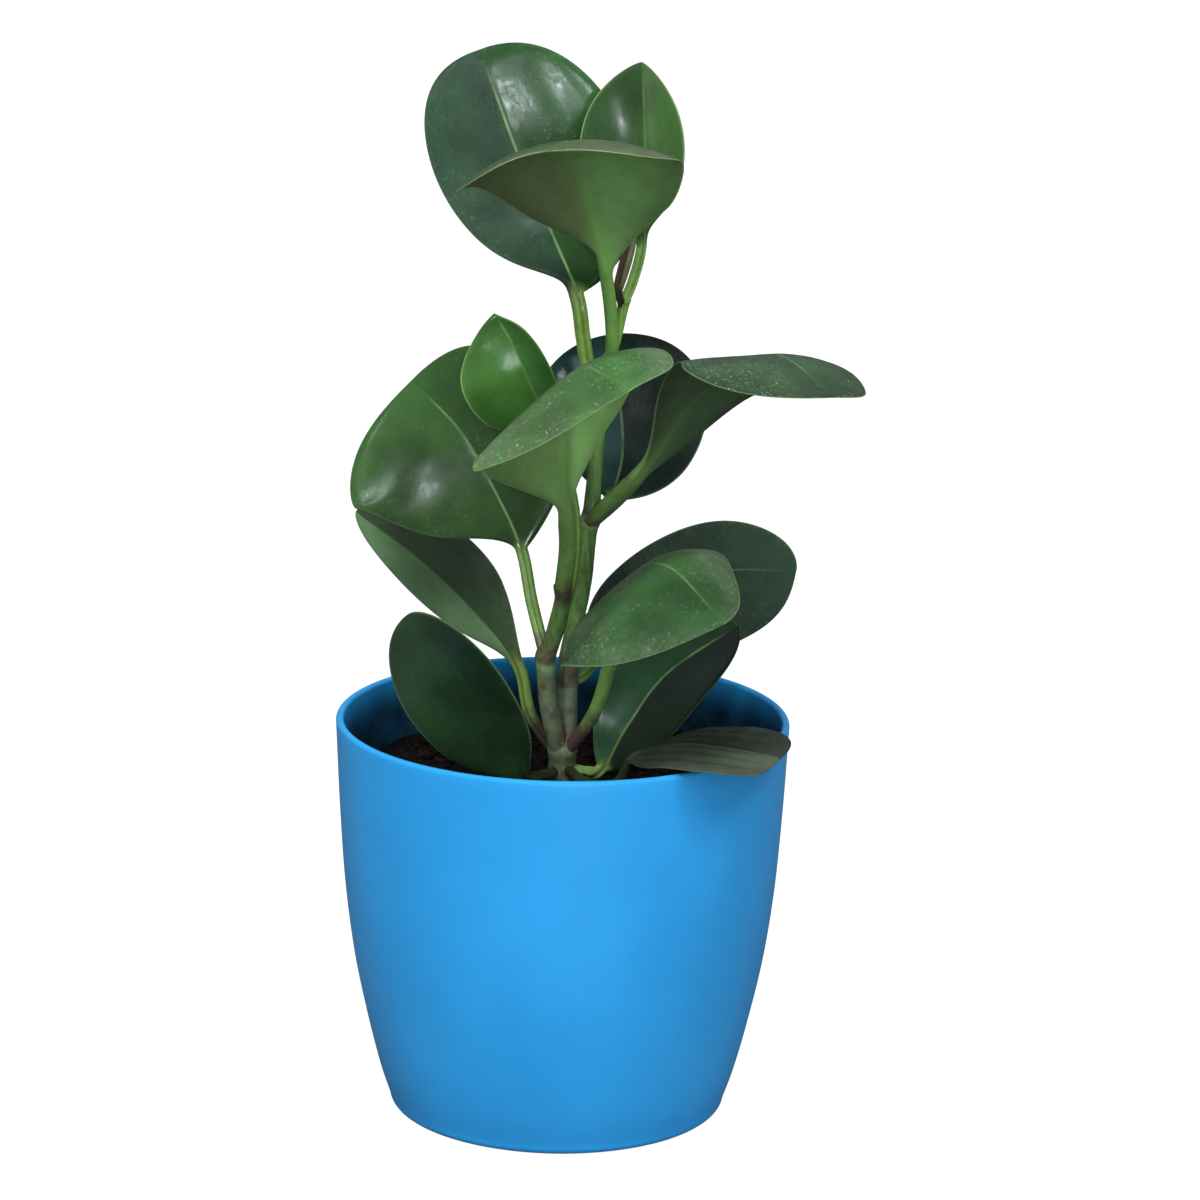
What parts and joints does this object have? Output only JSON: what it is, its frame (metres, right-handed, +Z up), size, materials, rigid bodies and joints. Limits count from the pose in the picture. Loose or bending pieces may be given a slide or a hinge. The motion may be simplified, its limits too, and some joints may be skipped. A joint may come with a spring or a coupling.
{
  "type": "potted plant",
  "caption": "Young peperomia with thick, glossy, rounded leaves on forking upright stems, planted in a plain round tapered plastic pot filled with potting soil.",
  "frame": {"origin": "centre of the pot's flat underside", "axes": "+Z up along the pot's axis, +X to the viewer's right, -Y towards the viewer"},
  "size_m": [0.1417, 0.1307, 0.2939],
  "materials": {
    "pot_blue": "satin",
    "soil_dark": "matte",
    "stem_green": "satin",
    "leaf_green": "satin",
    "leaf_young_green": "satin",
    "leaf_old_green": "matte",
    "bud_brown": "satin"
  },
  "bodies": {
    "root": {"pot": "pot_blue", "soil": "soil_dark", "stem": "stem_green", "leaf_crown_left": "leaf_green", "leaf_crown_right": "leaf_green", "leaf_crown_front": "leaf_green", "leaf_mid_left": "leaf_green", "leaf_young": "leaf_young_green", "leaf_back": "leaf_green", "leaf_mid_front": "leaf_green", "leaf_right_out": "leaf_green", "leaf_left_back": "leaf_green", "leaf_left_low": "leaf_green", "leaf_right_low": "leaf_green", "leaf_right_front": "leaf_green", "leaf_right_back": "leaf_green", "leaf_rim": "leaf_old_green", "bud": "bud_brown"}
  },
  "joints": []
}
